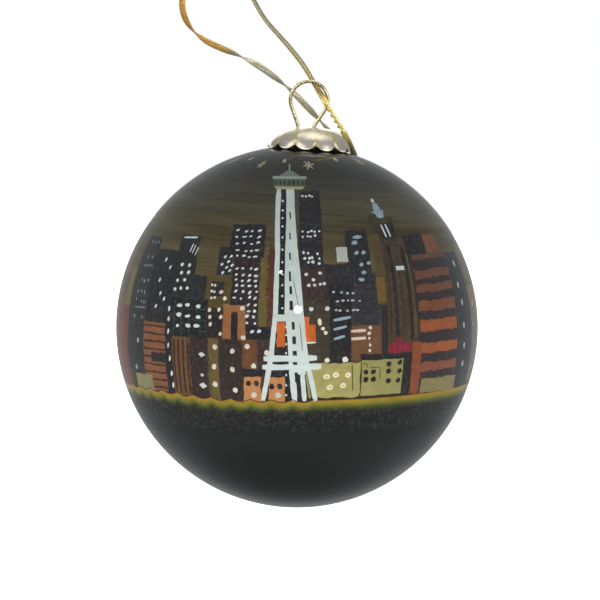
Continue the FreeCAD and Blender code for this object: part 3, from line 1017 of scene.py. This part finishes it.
def cord_material():
    """Metallic foil braid: khaki and dull on one strand, and a painted pale gold highlight where it twists.
    """
    nodes = new_material("gold_braid")
    along, around = (nodes.add("Attribute", output="Fac", attribute_name=name)
                     for name in ("along", "around"))
    strips = nodes.add("CombineXYZ", {0: along, 1: around})
    weave = nodes.add("TexWave", {"Vector": strips, "Scale": 1.6, "Distortion": 0.8}, "Fac",
                      wave_type="BANDS", bands_direction="DIAGONAL")
    foil = nodes.ramp(nodes.spread(along, 0, FOIL_SPAN), FOIL_AND_GLINT_STOPS)
    patches = nodes.noise(nodes.place(), 700, 2.0)
    uneven = nodes.mix(nodes.spread(patches, 0.35, 0.7, 0, 0.3), foil, (0.45, 0.4, 0.28), "MULTIPLY")
    colour = nodes.mix(nodes.spread(weave, 0.0, 0.45, 0.35, 0), uneven, "5f5534")
    nodes.bump(weave, 0.04 * MM)
    return nodes.finish(colour, nodes.spread(weave, 0, 1, 0.4, 0.26), {"Metallic": 0.75})


def add_braid(name, points, faces, places, material):
    piece = add_mesh(name, points, faces, material, "hanger")
    for key, values in zip(("along", "around"), zip(*places)):
        piece.data.attributes.new(key, "FLOAT", "POINT").data.foreach_set("value", values)
    return piece


def cord_twist(travelled):
    """How far the flat braid has turned: now and then on the loose strand, quickly beside the ring."""
    at = travelled / MM
    if at < 66:
        turns = (at - 26) / 11
        return pi * turns + 0.35 * sin(TAU * turns)
    quick = max(0.0, min(1.0, (at - 76) / 7))
    aslant = max(0.0, min(1.0, (at - 83) / 6))
    return pi / 2 + 5 * pi * quick + 0.75 * aslant + 0.12 * sin(at / 4)


def make_cord():
    """The braid along its route, and its knot, which rides with it."""
    material = cord_material()
    path = spline_points(CORD_ROUTE, 14)
    cord = add_braid("gold_braid_cord", *ribbon(path, CORD_WIDTH, CORD_THICK, cord_twist), material)
    knot = make_knot(material)
    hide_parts("gold_cord")
    return [cord, knot]


def make_knot(material):
    """An overhand knot pulled tight, with its two cut tails."""
    low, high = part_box("cord_knot")
    middle = (Vector(CORD_ROUTE[0]) + Vector(CORD_ROUTE[-1])) * MM / 2
    size = 0.44 * MM
    turns = []
    for t in [TAU * i / 90 for i in range(91)]:
        x, z = sin(t) + 2 * sin(2 * t), cos(t) - 2 * cos(2 * t)
        turns.append(middle + Vector((x, -1.3 * sin(3 * t), z)) * size)
    points, faces, places = ribbon(turns, 0.8 * MM, 0.62 * MM, lambda d: d * 300)
    for side in (-1, 1):
        reach = Vector((side * (high.x - low.x) * 0.42, 0.3 * MM * side, high.z - 0.2 * MM - middle.z))
        tail = [middle + reach * i / 14 + Vector((0.35 * MM * sin(i / 14 * 3 + side), 0, 0))
                for i in range(15)]
        more, more_faces, more_places = ribbon(tail, 0.85 * MM, 0.4 * MM, lambda d: d * 200 * side)
        faces += [tuple(len(points) + corner for corner in face) for face in more_faces]
        points += more
        places += more_places
    knot = add_braid("braid_knot", points, faces, places, material)
    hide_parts("cord_knot")
    return knot


def dress_wire():
    """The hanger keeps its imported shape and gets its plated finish."""
    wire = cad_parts["hanger_wire"]
    wire.data.materials.clear()
    wire.data.materials.append(wire_material())
    wire.data.polygons.foreach_set("use_smooth", [True] * len(wire.data.polygons))
    return wire


# Floor, sky and lamps

FLOOR_DROP = 0.11
FLOOR_HALF = 4.0


def make_stage():
    """A plain pale floor some way below the hanging ball."""
    corners = [(x * FLOOR_HALF, y * FLOOR_HALF, ball_low.z - FLOOR_DROP)
               for x, y in ((-1, -1), (1, -1), (1, 1), (-1, 1))]
    mesh = bpy.data.meshes.new("floor")
    mesh.from_pydata(corners, [], [(0, 1, 2, 3)])
    nodes = new_material("pale_floor")
    cloud = nodes.noise(nodes.place(), 3.0, 2.0)
    colour = nodes.mix(cloud, (0.93, 0.93, 0.93), (0.96, 0.96, 0.96))
    mesh.materials.append(nodes.finish(colour, 0.9, {}))
    floor = add_object("floor", mesh)
    floor.visible_glossy = False


def make_world():
    """A white tent; mirrored in the glass it is dim, and darker still below and behind."""
    world = bpy.data.worlds.new("studio")
    bpy.context.scene.world = world
    nodes = Nodes(world)
    tent = nodes.tree.nodes["Background"]
    nodes.feed(tent, {"Color": (1, 1, 1, 1), "Strength": 2.4})
    towards = nodes.add("TexCoord", output="Generated")
    downward = nodes.add("VectorMath", {0: towards, 1: (0, 0.32, -0.947)}, "Value", operation="DOT_PRODUCT")
    dimmed = nodes.spread(downward, 0.8, 1.0, 0.37, 0.15)
    mirrored = nodes.add("Background", {"Color": (0.95, 0.98, 1, 1), "Strength": dimmed})
    seen = nodes.add("Background", {"Color": (1, 1, 1, 1)})
    last = tent.outputs[0]
    for ray, backdrop in (("Is Glossy Ray", mirrored), ("Is Camera Ray", seen)):
        share = nodes.add("LightPath", output=ray)
        last = nodes.add("MixShader", {0: share, 1: last, 2: backdrop})
    nodes.feed(nodes.output, {"Surface": last})


def add_lamp(name, place, size, power, only=None):
    """A round soft lamp aimed at the ball; with only, it lights just that collection."""
    data = bpy.data.lights.new(name, "AREA")
    data.shape = "DISK"
    data.size = size
    data.energy = power
    lamp = add_object(name, data)
    lamp.location = BALL_CENTRE + Vector(place)
    lamp.rotation_euler = (BALL_CENTRE - lamp.location).to_track_quat("-Z", "Y").to_euler()
    if only:
        lamp.light_linking.receiver_collection = only


def make_lamps(metal):
    """A weak wide sun, two windows that the glass mirrors, and four lamps for the metal alone."""
    sun = bpy.data.lights.new("sky_light", "SUN")
    sun.energy = 0.4
    sun.angle = radians(60)
    high = add_object("sky_light", sun)
    high.rotation_euler = (radians(35), 0, 0)
    high.visible_glossy = False
    high.visible_transmission = False
    add_lamp("window", (0, -0.48, 0.135), 0.04, 0.16)
    add_lamp("small_window", (-0.1, -0.39, 0.3), 0.016, 0.05)
    trinkets = bpy.data.collections.new("metal_parts")
    for piece in metal:
        trinkets.objects.link(piece)
    add_lamp("metal_left", (-0.35, -0.35, 0.3), 0.3, 1.2, trinkets)
    add_lamp("metal_right", (0.4, -0.3, 0.22), 0.3, 1.0, trinkets)
    add_lamp("metal_top", (0.05, 0.05, 0.5), 0.35, 1.0, trinkets)
    add_lamp("metal_back", (-0.1, 0.45, 0.2), 0.35, 1.3, trinkets)


make_camera()
metal = make_cord()
make_glass()
make_films()
make_painting()
metal.append(make_cap())
metal.append(dress_wire())
make_stage()
make_world()
make_lamps(metal)
bpy.context.scene.view_settings.view_transform = "Standard"
